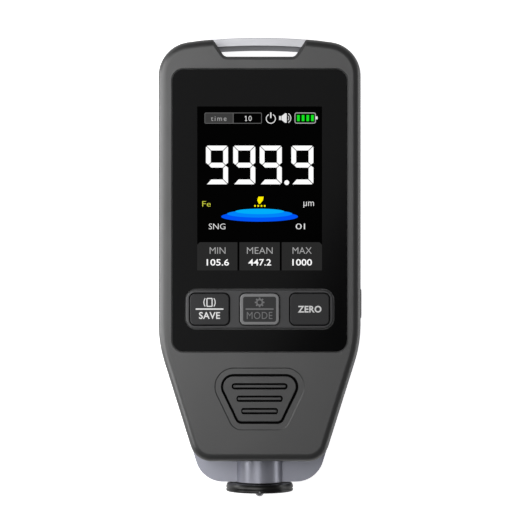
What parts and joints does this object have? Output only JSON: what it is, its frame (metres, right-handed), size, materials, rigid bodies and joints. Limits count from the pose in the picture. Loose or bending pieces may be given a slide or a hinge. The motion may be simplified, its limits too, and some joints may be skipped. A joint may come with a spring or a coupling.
{
  "type": "coating thickness gauge",
  "caption": "Handheld coating thickness gauge with a display window, three keys, a thumb pad, a lanyard bar and a sprung probe at its narrow end",
  "frame": {"origin": "under the middle of the gauge's box, on the plane that its flat back lies on", "axes": "+Z out of the screen, +Y towards the lanyard bar, +X to the right of the screen"},
  "size_m": [0.0516, 0.1174, 0.0279],
  "materials": {
    "front_shell": "fine satin graphite ABS",
    "rear_shell": "satin blue-grey ABS with a metallic paint",
    "lens": "black printed acrylic window",
    "bezel": "fine matt grey",
    "keys": "matt dark grey key caps",
    "switch_case": "black moulded",
    "white_plastic": "white moulded",
    "panel": "display panel glass, shown as lit graphics",
    "board": "green circuit board",
    "pad": "matt graphite rubber",
    "cell": "plain printed wrap over a metal can",
    "steel": "plated steel",
    "probe_collar": "black turned plastic with a soft sheen",
    "copper": "enamelled copper winding on a bobbin"
  },
  "bodies": {
    "housing": {"front_housing": "front_shell", "rear_housing": "rear_shell", "display_lens": "lens", "key_bezel": "bezel", "save_key_switch": "switch_case", "mode_key_switch": "switch_case", "zero_key_switch": "switch_case", "power_switch": "switch_case", "lcd_panel": "panel", "backlight_tray": "white_plastic", "main_board": "board", "buzzer": "switch_case", "thumb_pad": "pad", "battery_1": "cell", "battery_2": "cell", "battery_spring_1": "steel", "battery_spring_2": "steel", "contact_bridge": "steel", "contact_plus": "steel", "contact_minus": "steel", "probe_collar": "probe_collar", "probe_coil": "copper", "probe_guide": "steel", "probe_spring": "steel", "screw_1": "steel", "screw_2": "steel", "screw_3": "steel", "screw_4": "steel"},
    "save_key": {"save_key": "keys", "save_key_plunger": "white_plastic"},
    "mode_key": {"mode_key": "keys", "mode_key_plunger": "white_plastic"},
    "zero_key": {"zero_key": "keys", "zero_key_plunger": "white_plastic"},
    "power_button": {"power_button": "keys", "power_plunger": "white_plastic"},
    "probe_tip": {"probe_tip": "steel"},
    "battery_door": {"battery_door": "rear_shell"}
  },
  "joints": [
    {"name": "save_key_press", "type": "slide", "parent": "housing", "child": "save_key", "axis": [0, 0, -1], "range_m": [0, 0.0004], "stiffness_N_per_m": 1500, "springref_m": -0.0003},
    {"name": "mode_key_press", "type": "slide", "parent": "housing", "child": "mode_key", "axis": [0, 0, -1], "range_m": [0, 0.0004], "stiffness_N_per_m": 1500, "springref_m": -0.0003},
    {"name": "zero_key_press", "type": "slide", "parent": "housing", "child": "zero_key", "axis": [0, 0, -1], "range_m": [0, 0.0004], "stiffness_N_per_m": 1500, "springref_m": -0.0003},
    {"name": "power_button_press", "type": "slide", "parent": "housing", "child": "power_button", "axis": [-1, 0, 0], "range_m": [0, 0.0003], "stiffness_N_per_m": 1500, "springref_m": -0.0003},
    {"name": "probe_tip_slide", "type": "slide", "parent": "housing", "child": "probe_tip", "axis": [0, 1, 0], "range_m": [0, 0.0011], "stiffness_N_per_m": 500, "springref_m": -0.001, "deforming": ["probe_spring"]},
    {"name": "battery_door_hinge", "type": "hinge", "parent": "housing", "child": "battery_door", "pos_m": [0, 0.02, 0.0003], "axis": [1, 0, 0], "range_deg": [0, 60]}
  ]
}
